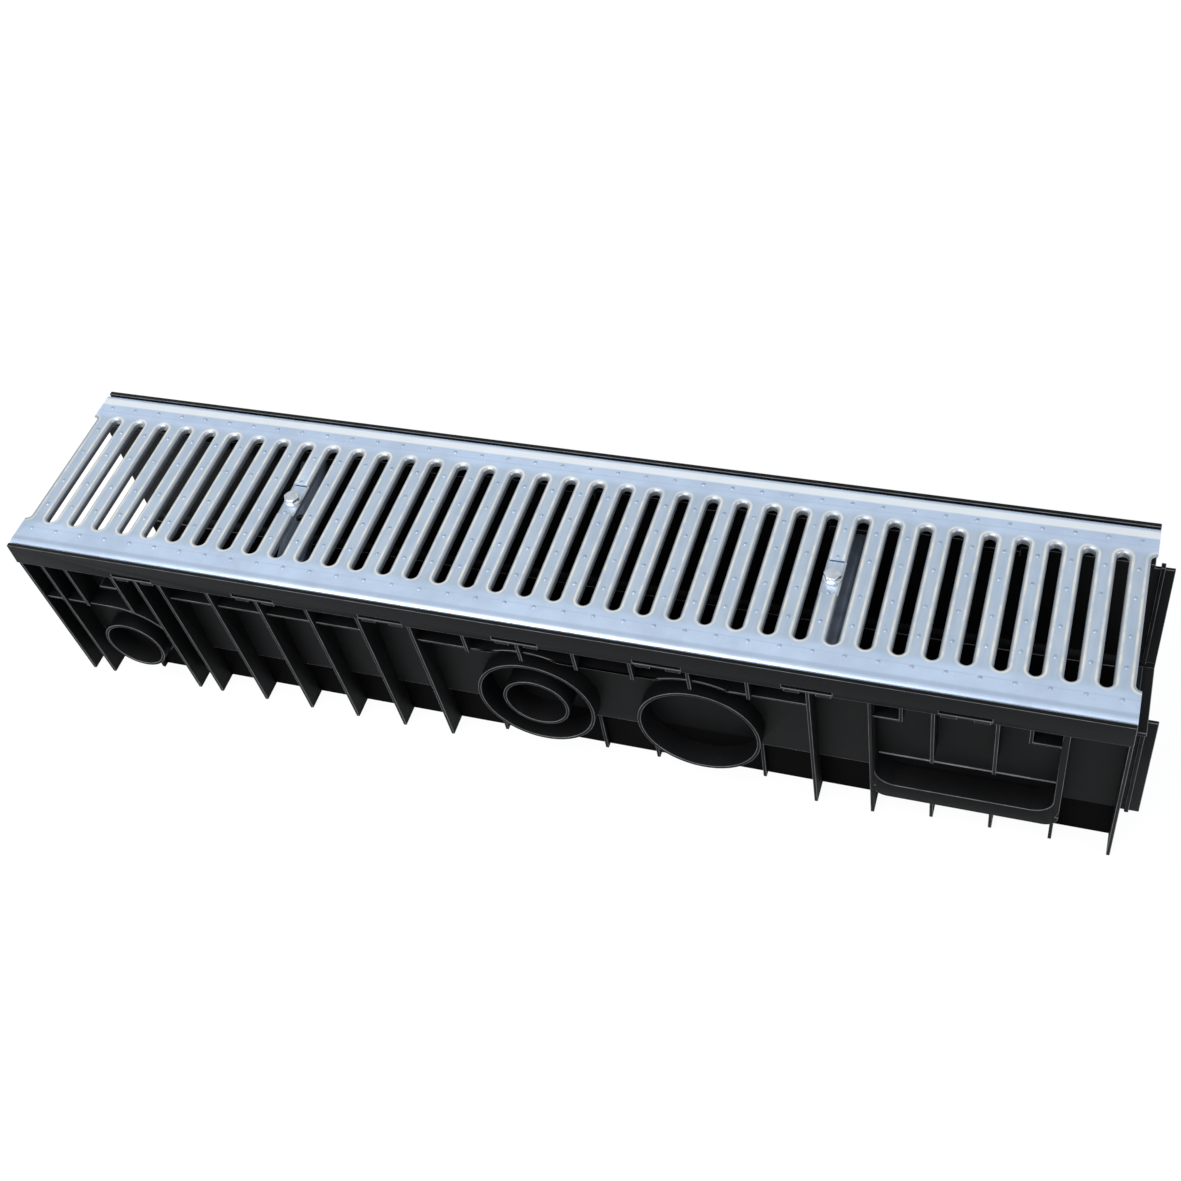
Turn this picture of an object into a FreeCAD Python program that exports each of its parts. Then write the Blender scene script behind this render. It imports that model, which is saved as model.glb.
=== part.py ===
import FreeCAD, Part
import math
import os
import Sketcher

# A drainage channel of moulded plastic with a pressed slotted grating.
# The origin is the centre of the flat underside, between the two ends of the trough.
# X runs along the channel, -Y is the side with the pipe stubs, and +Z is up. Millimetres.

DRIVING_SIZES = {
    # Trough section
    "channel_length": 1000.0,
    "channel_height": 202.5,
    "channel_width": 207.0,
    "lip_thickness": 4.0,
    "shoulder_depth": 20.0,
    "shoulder_thickness": 4.0,
    "wall_thickness": 3.0,
    "wall_face_half": 78.6,
    "lower_wall_inset": 7.0,
    "step_height": 54.5,
    "floor_thickness": 3.0,
    "floor_corner_radius": 12.0,
    # Ribs outside the walls
    "rib_thickness": 3.0,
    "rib_top_inset": 1.5,
    "rib_lean": 0.051,
    "short_rib_height": 119.5,
    # Ledges between the ribs
    "ledge_height": 151.5,
    "ledge_thickness": 2.2,
    "ledge_face_half": 96.6,
    "low_ledge_height": 120.5,
    # Pipe stubs on the near side
    "stub_face_half": 95.8,
    "stub_wall": 3.0,
    "large_stub_diameter": 110.0,
    "small_stub_diameter": 62.0,
    "large_stub_height": 82.5,
    "small_stub_height": 59.5,
    "combined_membrane": 3.0,
    "plain_membrane": 4.0,
    "small_membrane": 5.0,
    "boss_margin": 1.5,
    "arch_rise": 7.0,
    # Side outlet in the near wall
    "outlet_width": 154.0,
    "outlet_pocket_width": 25.0,
    "outlet_bottom": 33.5,
    "outlet_left_wall": 2.0,
    "outlet_right_wall": 5.5,
    "outlet_back_drop": 22.0,
    "outlet_rib_height": 100.0,
    "outlet_foot_inset": 5.5,
    "outlet_floor": 52.5,
    "outlet_outer_radius": 25.0,
    "outlet_inner_radius": 18.0,
    "outlet_face_half": 95.1,
    # Windows and clamping lugs under the lip
    "window_length": 41.0,
    "window_height": 4.0,
    "window_lift": 2.0,
    "window_depth": 2.5,
    "window_tooth": 13.0,
    "window_tooth_drop": 4.5,
    "window_tooth_thickness": 3.0,
    "lug_length": 36.0,
    "lug_reach": 5.0,
    "lug_drop": 5.5,
    # Tongues that enter the next channel
    "tongue_length": 16.0,
    "tongue_bottom": 52.5,
    "ridge_place": 4.5,
    "ridge_width": 3.5,
    "ridge_proud": 1.5,
    "end_shelf_length": 8.0,
    "end_shelf_inner": 29.0,
    "end_shelf_outer": 92.0,
    # Grating
    "grating_clearance": 0.5,
    "sheet_thickness": 2.0,
    "bend_radius": 4.5,
    "slot_count": 37.0,
    "slot_width": 10.0,
    "slot_length": 136.0,
    "slot_roll_radius": 3.0,
    "slot_collar_depth": 7.0,
    "seat_length": 37.0,
    "seat_depth": 3.0,
    # Locking bars and fasteners
    "bar_length": 146.0,
    "bar_width": 28.0,
    "bar_height": 10.0,
    "bar_sheet": 2.5,
    "bar_gap": 0.5,
    "left_bar_angle": 13.0,
    "right_bar_angle": 0.0,
    "bolt_diameter": 8.0,
    "bolt_length": 42.0,
    "bolt_running_gap": 0.05,
    "bolt_hole_gap": 0.5,
    "hex_flats": 13.0,
    "head_height": 5.3,
    "nut_height": 6.5,
    "washer_diameter": 16.0,
    "washer_thickness": 1.6,
}

# Places along X are counted in twentieths of the channel's length, from its middle
PLACES = 20
FULL_RIBS = [-10, -9.5, -7.5, -7, -6, -5, -4, -3, -2, 5, 6, 10]
SHORT_RIBS = [-9, -8]
RIM_RIBS = [-1, 0, 1, 2, 3, 4]
FOOT_RIBS = [-8.5, -1, 1, 2, 4]
OUTLET_RIBS = [7, 8]
UNDER_OUTLET_RIBS = [7, 8, 9]
WINDOW_PLACES = [-7.5, -5, -2.5, 0, 2.5, 5, 7.5]
STUB_PLACES = [0, 3, -8.5]
BAR_PLACES = [-5, 5]

NEAR = -1
FAR = 1

doc = FreeCAD.newDocument("drainage_channel")
sheet = doc.addObject("Spreadsheet::Sheet", "sizes")


class Size:
    """A number together with the formula that gives it from the sheet's cells."""

    def __init__(self, number, text):
        self.number = number
        self.text = text

    def __add__(self, other):
        other = as_size(other)
        return Size(self.number + other.number, "(%s + %s)" % (self.text, other.text))

    def __sub__(self, other):
        other = as_size(other)
        return Size(self.number - other.number, "(%s - %s)" % (self.text, other.text))

    def __mul__(self, other):
        other = as_size(other)
        return Size(self.number * other.number, "(%s * %s)" % (self.text, other.text))

    def __truediv__(self, other):
        other = as_size(other)
        return Size(self.number / other.number, "(%s / %s)" % (self.text, other.text))

    def __neg__(self):
        return self * -1

    __radd__ = __add__
    __rmul__ = __mul__


def as_size(value):
    if isinstance(value, Size):
        return value
    return Size(float(value), "(%.6f)" % value)


def cell(alias):
    return Size(DRIVING_SIZES[alias], "sizes.%s" % alias)


def along(count):
    """The place along X of so many twentieths of the length."""
    return cell("channel_length") / PLACES * count


def fill_sheet():
    """Writes each driving size beside its name, and gives the cell that name as alias."""
    for row, (alias, number) in enumerate(DRIVING_SIZES.items(), start=1):
        sheet.set("A%d" % row, alias)
        sheet.set("B%d" % row, "%g" % number)
        sheet.setAlias("B%d" % row, alias)
    doc.recompute()


def make_body(label):
    body = doc.addObject("PartDesign::Body", label)
    body.Label = label
    return body


class Moulding:
    """The blocks that make up a moulding: those added, those cut away and those added last."""

    def __init__(self):
        self.added = []
        self.cut = []
        self.added_last = []


PLANE_TURNS = {
    "XY_Plane": FreeCAD.Rotation(),
    "XZ_Plane": FreeCAD.Rotation(FreeCAD.Vector(1, 0, 0), 90),
    "YZ_Plane": FreeCAD.Rotation(FreeCAD.Vector(1, 1, 1), 120),
}
PLANE_NORMALS = {"XY_Plane": ("z", 1), "XZ_Plane": ("y", -1), "YZ_Plane": ("x", 1)}


def make_sketch(owner, name, role, offset):
    """A sketch on a main plane, moved along its normal: in a body, or free for a moulding."""
    if isinstance(owner, Moulding):
        sketch = doc.addObject("Sketcher::SketchObject", name)
        sketch.Placement = FreeCAD.Placement(FreeCAD.Vector(), PLANE_TURNS[role])
        axis, sign = PLANE_NORMALS[role]
        sketch.setExpression(".Placement.Base.%s" % axis, (as_size(offset) * sign).text)
        return sketch
    sketch = owner.newObject("Sketcher::SketchObject", name)
    plane = [item for item in owner.Origin.OriginFeatures if item.Role == role][0]
    sketch.AttachmentSupport = [(plane, "")]
    sketch.MapMode = "FlatFace"
    sketch.setExpression(".AttachmentOffset.Base.z", as_size(offset).text)
    return sketch


def constrain(sketch, kind, place, size):
    """A driving dimension whose value is bound to the sheet."""
    index = sketch.addConstraint(Sketcher.Constraint(kind, *place, size.number))
    sketch.setExpression("Constraints[%d]" % index, size.text)


def draw_polygon(sketch, corners):
    """A closed outline of straight lines with every corner dimensioned."""
    points = [FreeCAD.Vector(across.number, up.number, 0) for across, up in corners]
    lines = []
    for start, end in zip(points, points[1:] + points[:1]):
        lines.append(sketch.addGeometry(Part.LineSegment(start, end)))
    for line, following in zip(lines, lines[1:] + lines[:1]):
        sketch.addConstraint(Sketcher.Constraint("Coincident", line, 2, following, 1))
    for line, (across, up) in zip(lines, corners):
        constrain(sketch, "DistanceX", (line, 1), across)
        constrain(sketch, "DistanceY", (line, 1), up)


def draw_square_outline(sketch, corners):
    """A closed outline of lines along the two axes, each corner sharp (0) or with a radius."""
    count = len(corners)
    lines = []
    trims = []
    for index, (across, up, radius) in enumerate(corners):
        before = corners[index - 1]
        after = corners[(index + 1) % count]
        here = FreeCAD.Vector(across.number, up.number, 0)
        back = (FreeCAD.Vector(before[0].number, before[1].number, 0) - here).normalize()
        ahead = (FreeCAD.Vector(after[0].number, after[1].number, 0) - here).normalize()
        reach = as_size(radius).number
        trims.append((here + back * reach, here + ahead * reach, here + (back + ahead) * reach))
    for index in range(count):
        start = trims[index][1]
        end = trims[(index + 1) % count][0]
        lines.append(sketch.addGeometry(Part.LineSegment(start, end)))
        across, up, radius = corners[index]
        after = corners[(index + 1) % count]
        if abs(after[0].number - across.number) < abs(after[1].number - up.number):
            sketch.addConstraint(Sketcher.Constraint("Vertical", lines[index]))
            constrain(sketch, "DistanceX", (lines[index], 1), across)
        else:
            sketch.addConstraint(Sketcher.Constraint("Horizontal", lines[index]))
            constrain(sketch, "DistanceY", (lines[index], 1), up)
    for index, (across, up, radius) in enumerate(corners):
        incoming = lines[index - 1]
        outgoing = lines[index]
        if as_size(radius).number == 0:
            sketch.addConstraint(Sketcher.Constraint("Coincident", incoming, 2, outgoing, 1))
            continue
        first, last, centre = trims[index]
        left_turn = (first - centre).cross(last - centre).z > 0
        ends = (first, last) if left_turn else (last, first)
        angles = [math.atan2(end.y - centre.y, end.x - centre.x) for end in ends]
        circle = Part.Circle(centre, FreeCAD.Vector(0, 0, 1), radius.number)
        arc = sketch.addGeometry(Part.ArcOfCircle(circle, angles[0], angles[1]))
        first_end, last_end = (1, 2) if left_turn else (2, 1)
        sketch.addConstraint(Sketcher.Constraint("Tangent", incoming, 2, arc, first_end))
        sketch.addConstraint(Sketcher.Constraint("Tangent", arc, last_end, outgoing, 1))
        constrain(sketch, "Radius", (arc,), radius)


def draw_circle(sketch, across, up, radius):
    centre = FreeCAD.Vector(across.number, up.number, 0)
    circle = sketch.addGeometry(Part.Circle(centre, FreeCAD.Vector(0, 0, 1), radius.number))
    constrain(sketch, "DistanceX", (circle, 3), across)
    constrain(sketch, "DistanceY", (circle, 3), up)
    constrain(sketch, "Radius", (circle,), radius)


def draw_slot(sketch, across, length, width):
    """A slot along the vertical axis with round ends, its middle on the other axis."""
    radius = width / 2
    reach = length / 2 - radius
    normal = FreeCAD.Vector(0, 0, 1)
    arcs = []
    for sign, first_angle in ((1, 0.0), (-1, math.pi)):
        centre = FreeCAD.Vector(across.number, sign * reach.number, 0)
        circle = Part.Circle(centre, normal, radius.number)
        arcs.append(sketch.addGeometry(Part.ArcOfCircle(circle, first_angle, first_angle + math.pi)))
        constrain(sketch, "DistanceX", (arcs[-1], 3), across)
        constrain(sketch, "DistanceY", (arcs[-1], 3), reach * sign)
        constrain(sketch, "Radius", (arcs[-1],), radius)
    top, bottom = arcs
    for arc_end, arc, other_end, other in ((2, top, 1, bottom), (1, top, 2, bottom)):
        start = sketch.getPoint(arc, arc_end)
        end = sketch.getPoint(other, other_end)
        side = sketch.addGeometry(Part.LineSegment(start, end))
        sketch.addConstraint(Sketcher.Constraint("Tangent", arc, arc_end, side, 1))
        sketch.addConstraint(Sketcher.Constraint("Tangent", other, other_end, side, 2))


def draw_arc_band(sketch, across, up, radius, thickness, first_angle, last_angle):
    """A curved strip of even thickness about a centre, between two angles in degrees."""
    normal = FreeCAD.Vector(0, 0, 1)
    centre = FreeCAD.Vector(across.number, up.number, 0)
    start = math.radians(first_angle)
    end = math.radians(last_angle)
    arcs = []
    for reach in (radius, radius - thickness):
        circle = Part.Circle(centre, normal, reach.number)
        arcs.append(sketch.addGeometry(Part.ArcOfCircle(circle, start, end)))
        constrain(sketch, "DistanceX", (arcs[-1], 3), across)
        constrain(sketch, "DistanceY", (arcs[-1], 3), up)
        constrain(sketch, "Radius", (arcs[-1],), reach)
    outer, inner = arcs
    for end_index in (1, 2):
        outer_end = sketch.getPoint(outer, end_index)
        inner_end = sketch.getPoint(inner, end_index)
        closing = sketch.addGeometry(Part.LineSegment(outer_end, inner_end))
        sketch.addConstraint(Sketcher.Constraint("Coincident", outer, end_index, closing, 1))
        sketch.addConstraint(Sketcher.Constraint("Coincident", inner, end_index, closing, 2))


def draw_hexagon(sketch, flats):
    reach = flats / math.sqrt(3)
    corners = []
    for step in range(6):
        angle = math.radians(60 * step)
        corners.append((reach * math.cos(angle), reach * math.sin(angle)))
    draw_polygon(sketch, corners)


def extrude(sketch, length, backwards):
    block = doc.addObject("Part::Extrusion", sketch.Name + "_block")
    block.Base = sketch
    block.DirMode = "Normal"
    block.Solid = True
    block.Reversed = backwards
    block.setExpression("LengthFwd", as_size(length).text)
    return block


def add_pad(owner, sketch, length):
    """Adds material along the sketch's normal."""
    if isinstance(owner, Moulding):
        owner.added.append(extrude(sketch, length, False))
        return owner.added[-1]
    feature = owner.newObject("PartDesign::Pad", sketch.Name + "_pad")
    feature.Profile = sketch
    feature.setExpression("Length", as_size(length).text)
    owner.Tip = feature
    return feature


def add_pocket(owner, sketch, length):
    """Takes material away against the sketch's normal."""
    if isinstance(owner, Moulding):
        owner.cut.append(extrude(sketch, length, True))
        return owner.cut[-1]
    feature = owner.newObject("PartDesign::Pocket", sketch.Name + "_cut")
    feature.Profile = sketch
    feature.setExpression("Length", as_size(length).text)
    owner.Tip = feature
    return feature


def add_fillet(body, name, radius, wanted):
    """Rounds the edges of the body's shape for which wanted(edge) is true."""
    doc.recompute()
    base = body.Tip
    edges = []
    for index, edge in enumerate(base.Shape.Edges, start=1):
        if wanted(edge):
            edges.append("Edge%d" % index)
    if not edges:
        raise ValueError("no edges to round for " + name)
    feature = body.newObject("PartDesign::Fillet", name)
    feature.Base = (base, edges)
    feature.setExpression("Radius", radius.text)
    body.Tip = feature
    return feature


fill_sheet()

half_length = cell("channel_length") / 2
half_width = cell("channel_width") / 2
height = cell("channel_height")
wall = cell("wall_thickness")
wall_face = cell("wall_face_half")
lower_face = wall_face - cell("lower_wall_inset")
shoulder_top = height - cell("shoulder_depth")
shoulder_bottom = shoulder_top - cell("shoulder_thickness")
lip_inner = half_width - cell("lip_thickness")
step_top = cell("step_height")
step_bottom = step_top - cell("lower_wall_inset")
rib_thickness = cell("rib_thickness")


def mirrored_section(points):
    """Closes a half section, drawn for +Y, with its mirror image."""
    return points + [(-across, up) for across, up in reversed(points)]


def rib_face(up):
    """Distance from the middle plane to the ribs' leaning outer edge at a height."""
    return half_width - cell("rib_top_inset") - (shoulder_bottom - up) * cell("rib_lean")


def build_trough():
    """The open section: floor, stepped walls, shoulders and lips."""
    body = make_body("trough")
    inner_lift = wall * math.tan(math.radians(22.5))
    points = [
        (lower_face, as_size(0)),
        (lower_face, step_bottom),
        (wall_face, step_top),
        (wall_face, shoulder_bottom),
        (half_width, shoulder_bottom),
        (half_width, height),
        (lip_inner, height),
        (lip_inner, shoulder_top),
        (wall_face - wall, shoulder_top),
        (wall_face - wall, step_top + inner_lift),
        (lower_face - wall, step_bottom + inner_lift),
        (lower_face - wall, cell("floor_thickness")),
    ]
    sketch = make_sketch(body, "trough_section", "YZ_Plane", -half_length)
    draw_polygon(sketch, mirrored_section(points))
    add_pad(body, sketch, cell("channel_length"))
    floor_top = DRIVING_SIZES["floor_thickness"]
    reach = lower_face.number - wall.number

    def floor_corner(edge):
        middle = edge.BoundBox.Center
        return abs(middle.z - floor_top) < 0.01 and abs(abs(middle.y) - reach) < 0.01

    add_fillet(body, "floor_corners", cell("floor_corner_radius"), floor_corner)
    return body


def add_rib(body, name, side, place, bottom, top, foot_only=False, inset=0):
    """One rib across the wall from one height to another, its outer edge on the lean."""
    wall_middle = wall_face - wall / 2
    lower_middle = lower_face - wall / 2
    outer = [(rib_face(top) - inset, top), (rib_face(bottom) - inset, bottom)]
    if foot_only:
        face = wall_face - wall / 2
        outer = [(face, top), (face, bottom)]
    if bottom.number < step_bottom.number < top.number:
        inner = [(lower_middle, bottom), (lower_middle, step_bottom)]
        if not foot_only:
            inner += [(wall_middle, step_top), (wall_middle, top)]
    elif top.number <= step_bottom.number:
        inner = [(lower_middle, bottom), (lower_middle, top)]
    else:
        inner = [(wall_middle, bottom), (wall_middle, top)]
    corners = [(across * side, up) for across, up in outer + inner]
    start = along(place) - rib_thickness / 2
    if abs(place) == PLACES / 2:
        start = half_length - rib_thickness if place > 0 else -half_length
    sketch = make_sketch(body, name, "YZ_Plane", start)
    draw_polygon(sketch, corners)
    add_pad(body, sketch, rib_thickness)


def build_ribs(body):
    """Upright ribs: the near side's are cut short by ledges, stubs and the outlet."""
    base = as_size(0)
    rim = shoulder_bottom + 1
    for place in FULL_RIBS:
        add_rib(body, "near_rib_%s" % index_name(place), NEAR, place, base, rim)
    for place in SHORT_RIBS:
        add_rib(body, "near_short_%s" % index_name(place), NEAR, place, cell("short_rib_height"), rim)
    for place in RIM_RIBS:
        add_rib(body, "near_rim_%s" % index_name(place), NEAR, place, cell("ledge_height"), rim)
    for place in FOOT_RIBS:
        add_rib(body, "near_foot_%s" % index_name(place), NEAR, place, base, step_top, True)
    for place in range(-PLACES // 2, PLACES // 2 + 1):
        add_rib(body, "far_rib_%s" % index_name(place), FAR, place, base, rim)


def index_name(place):
    """A place as a word that a name may hold, counted in tenths of a step."""
    return ("left_%d" if place < 0 else "right_%d") % round(abs(place) * 10)


def add_ledge(body, name, side, first, last, up):
    """A thin shelf along the wall between two ribs."""
    inner = wall_face - wall / 2
    outer = cell("ledge_face_half")
    top = up + cell("ledge_thickness") / 2
    bottom = up - cell("ledge_thickness") / 2
    corners = [(inner, bottom), (outer, bottom), (outer, top), (inner, top)]
    sketch = make_sketch(body, name, "YZ_Plane", first)
    draw_polygon(sketch, [(across * side, level) for across, level in corners])
    add_pad(body, sketch, last - first)


def add_arch(body, name, place, up, radius, first_angle, last_angle):
    """A curved ledge over a stub on the near side."""
    inner = wall_face - wall / 2
    sketch = make_sketch(body, name, "XZ_Plane", inner)
    thickness = cell("ledge_thickness")
    draw_arc_band(sketch, place, up, radius + thickness / 2, thickness, first_angle, last_angle)
    add_pad(body, sketch, cell("ledge_face_half") - inner)


def build_ledges(body):
    up = cell("ledge_height")
    rise = up - cell("large_stub_height")
    radius = rise + cell("arch_rise")
    half_span = Size(
        math.sqrt(radius.number ** 2 - rise.number ** 2),
        "sqrt(%s ^ 2 - %s ^ 2)" % (radius.text, rise.text))
    spring = math.degrees(math.asin(rise.number / radius.number))
    combined, plain, small = [along(count) for count in STUB_PLACES]
    for index, place in enumerate((combined, plain)):
        add_arch(body, "large_arch_%d" % index, place, cell("large_stub_height"), radius,
                 spring, 180 - spring)
    add_ledge(body, "near_ledge_left", NEAR, along(-7), along(-3), up)
    add_ledge(body, "near_ledge_first", NEAR, along(-2), combined - half_span, up)
    add_ledge(body, "near_ledge_middle", NEAR, combined + half_span, plain - half_span, up)
    add_ledge(body, "near_ledge_last", NEAR, plain + half_span, along(5), up)
    add_ledge(body, "near_ledge_short", NEAR, along(-8.5), along(-8), up)
    add_ledge(body, "far_ledge_left", FAR, along(-7), along(-3), up)
    add_ledge(body, "far_ledge_right", FAR, along(-2), along(5), up)
    small_radius = cell("low_ledge_height") - cell("small_stub_height")
    next_rib = along(-7.5).number - small.number
    end_angle = math.degrees(math.acos(next_rib / small_radius.number))
    add_arch(body, "small_arch", small, cell("small_stub_height"), small_radius, end_angle, 90)
    add_ledge(body, "near_ledge_low", NEAR, -half_length, small, cell("low_ledge_height"))


def build_stub(body, name, place, up, diameter, membrane, inner_diameter=None):
    """A pipe stub: a ring that stands out of the wall, closed by a membrane to be cut out."""
    face = cell("stub_face_half")
    back = lower_face - wall
    stub_wall = cell("stub_wall")
    sketch = make_sketch(body, name + "_boss", "XZ_Plane", back)
    draw_circle(sketch, place, up, diameter / 2 + cell("boss_margin"))
    add_pad(body, sketch, wall_face - back)
    sketch = make_sketch(body, name + "_ring", "XZ_Plane", back + wall)
    draw_circle(sketch, place, up, diameter / 2)
    add_pad(body, sketch, face - back - wall)
    sketch = make_sketch(body, name + "_mouth", "XZ_Plane", face)
    draw_circle(sketch, place, up, diameter / 2 - stub_wall)
    add_pocket(body, sketch, face - back - membrane)
    if inner_diameter is None:
        return
    sketch = make_sketch(body, name + "_inner", "XZ_Plane", lower_face - wall / 2)
    draw_circle(sketch, place, up, inner_diameter / 2)
    draw_circle(sketch, place, up, inner_diameter / 2 - stub_wall)
    body.added_last.append(extrude(sketch, face - lower_face + wall / 2, False))


def build_stubs(body):
    """Three stubs: one with a second tube inside it, a plain one and a small one."""
    combined, plain, small = [along(count) for count in STUB_PLACES]
    large_diameter = cell("large_stub_diameter")
    small_diameter = cell("small_stub_diameter")
    large_up = cell("large_stub_height")
    small_up = cell("small_stub_height")
    build_stub(body, "combined_stub", combined, large_up, large_diameter,
               cell("combined_membrane"), small_diameter)
    build_stub(body, "plain_stub", plain, large_up, large_diameter, cell("plain_membrane"))
    build_stub(body, "small_stub", small, small_up, small_diameter, cell("small_membrane"))


def build_outlet(body):
    """The U-shaped collar on the near wall with its floor, and the ribs about it."""
    left = along(6) + rib_thickness / 2 - 1
    right = left + cell("outlet_width")
    inner_left = left + cell("outlet_left_wall")
    inner_right = right - cell("outlet_right_wall")
    bottom = cell("outlet_bottom")
    floor = cell("outlet_floor")
    top = shoulder_bottom + 1
    face = cell("outlet_face_half")
    outer_radius = cell("outlet_outer_radius")
    inner_radius = cell("outlet_inner_radius")
    inner = wall_face - wall / 2
    sketch = make_sketch(body, "outlet_collar", "XZ_Plane", inner)
    draw_square_outline(sketch, [
        (left, top, 0), (left, bottom, outer_radius), (right, bottom, outer_radius), (right, top, 0),
        (inner_right, top, 0), (inner_right, floor, inner_radius),
        (inner_left, floor, inner_radius), (inner_left, top, 0)])
    add_pad(body, sketch, face - inner)
    foot_radius = step_bottom - bottom
    inner = lower_face - wall / 2
    sketch = make_sketch(body, "outlet_foot", "XZ_Plane", inner)
    draw_square_outline(sketch, [
        (left, step_bottom, 0), (left, bottom, foot_radius * 0.9),
        (right, bottom, foot_radius * 0.9), (right, step_bottom, 0)])
    add_pad(body, sketch, face - inner)
    back_top = floor + cell("outlet_back_drop")
    sketch = make_sketch(body, "outlet_back", "XZ_Plane", lower_face - wall)
    draw_square_outline(sketch, [
        (inner_left - wall, back_top + wall, 0), (inner_left - wall, floor - wall, 0),
        (inner_right + wall, floor - wall, 0), (inner_right + wall, back_top + wall, 0)])
    add_pad(body, sketch, wall * 3)
    sketch = make_sketch(body, "outlet_recess", "XZ_Plane", wall_face + 1)
    draw_square_outline(sketch, [
        (inner_left, back_top, 0), (inner_left, floor, inner_radius),
        (inner_right, floor, inner_radius), (inner_right, back_top, 0)])
    add_pocket(body, sketch, wall_face + 1 - lower_face)
    for place in OUTLET_RIBS:
        add_rib(body, "outlet_rib_%s" % index_name(place), NEAR, place, cell("outlet_rib_height"), top)
    for place in UNDER_OUTLET_RIBS:
        add_rib(body, "outlet_foot_%s" % index_name(place), NEAR, place, as_size(0), bottom + wall,
                inset=cell("outlet_foot_inset"))
    build_outlet_pocket(body, "left", left, left + cell("outlet_pocket_width"), 1)
    build_outlet_pocket(body, "right", inner_right - cell("outlet_pocket_width"), inner_right, 0)


def build_outlet_pocket(body, name, first, last, rib_end):
    """A small box under the shoulder at one corner of the outlet: a ledge and an upright."""
    up = cell("ledge_height")
    add_ledge(body, "outlet_ledge_" + name, NEAR, first, last, up)
    upright = last - rib_thickness if rib_end else first
    inner = wall_face - wall / 2
    outer = cell("ledge_face_half")
    bottom = up - cell("ledge_thickness") / 2
    sketch = make_sketch(body, "outlet_upright_" + name, "YZ_Plane", upright)
    corners = [(inner, bottom), (outer, bottom), (outer, shoulder_bottom + 1), (inner, shoulder_bottom + 1)]
    draw_polygon(sketch, [(across * NEAR, level) for across, level in corners])
    add_pad(body, sketch, rib_thickness)


def add_window(body, index, side, place):
    """A mould window in the lip's lower edge, with two teeth under it."""
    name = "%s_window_%d" % ("near" if side == NEAR else "far", index)
    length = cell("window_length")
    drop = cell("window_tooth_drop")
    tooth = cell("window_tooth")
    outer = half_width - cell("rib_top_inset")
    inner = outer - cell("window_tooth_thickness")
    for suffix, start in (("_tooth_left", place - tooth * 1.5), ("_tooth_right", place + tooth * 0.5)):
        sketch = make_sketch(body, name + suffix, "YZ_Plane", start)
        corners = [(inner, shoulder_bottom - drop), (outer, shoulder_bottom - drop),
                   (outer, shoulder_bottom + 1), (inner, shoulder_bottom + 1)]
        draw_polygon(sketch, [(across * side, up) for across, up in corners])
        add_pad(body, sketch, tooth)
    sketch = make_sketch(body, name, "YZ_Plane", place + length / 2)
    bottom = shoulder_bottom + cell("window_lift")
    top = bottom + cell("window_height")
    back = half_width - cell("window_depth")
    corners = [(back, bottom), (half_width + 1, bottom), (half_width + 1, top), (back, top)]
    draw_polygon(sketch, [(across * side, up) for across, up in corners])
    add_pocket(body, sketch, length)


def build_windows_and_lugs(body):
    """Mould windows outside, and lugs inside that the locking bars turn under."""
    lug = cell("lug_length")
    inner = wall_face - wall - cell("lug_reach")
    outer = wall_face - wall / 2
    bottom = shoulder_top - cell("lug_drop")
    for index, count in enumerate(WINDOW_PLACES):
        place = along(count)
        for side in (NEAR, FAR):
            add_window(body, index, side, place)
        sketch = make_sketch(body, "lugs_%d" % index, "YZ_Plane", place - lug / 2)
        for side in (NEAR, FAR):
            corners = [(inner, bottom), (outer, bottom), (outer, shoulder_top), (inner, shoulder_top)]
            draw_polygon(sketch, [(across * side, up) for across, up in corners])
        add_pad(body, sketch, lug)


def build_tongues(body):
    """Flat ridged tongues at the right end that enter the next channel, and a corner shelf."""
    start = half_length - 1
    inner = wall_face - wall
    bottom = cell("tongue_bottom")
    ridge_inner = inner - cell("ridge_proud")
    ridge_outer = wall_face + cell("ridge_proud")
    tongues = make_sketch(body, "tongues", "YZ_Plane", start)
    ridges = make_sketch(body, "tongue_ridges", "YZ_Plane", half_length + cell("ridge_place"))
    ridge_bottom = bottom - cell("ridge_proud")
    ridge_top = shoulder_bottom + cell("ridge_proud") * 2
    for side in (NEAR, FAR):
        corners = [(inner, bottom), (wall_face, bottom), (wall_face, shoulder_bottom),
                   (inner, shoulder_bottom)]
        draw_polygon(tongues, [(across * side, up) for across, up in corners])
        corners = [(ridge_inner, ridge_bottom), (ridge_outer, ridge_bottom),
                   (ridge_outer, ridge_top), (ridge_inner, ridge_top)]
        draw_polygon(ridges, [(across * side, up) for across, up in corners])
    add_pad(body, tongues, cell("tongue_length") + 1)
    add_pad(body, ridges, cell("ridge_width"))
    shelf = make_sketch(body, "end_shelf", "YZ_Plane", start)
    corners = [(cell("end_shelf_inner"), shoulder_bottom), (cell("end_shelf_outer"), shoulder_bottom),
               (cell("end_shelf_outer"), shoulder_top), (cell("end_shelf_inner"), shoulder_top)]
    draw_polygon(shelf, [(across * NEAR, up) for across, up in corners])
    add_pad(body, shelf, cell("end_shelf_length") + 1)


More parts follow.
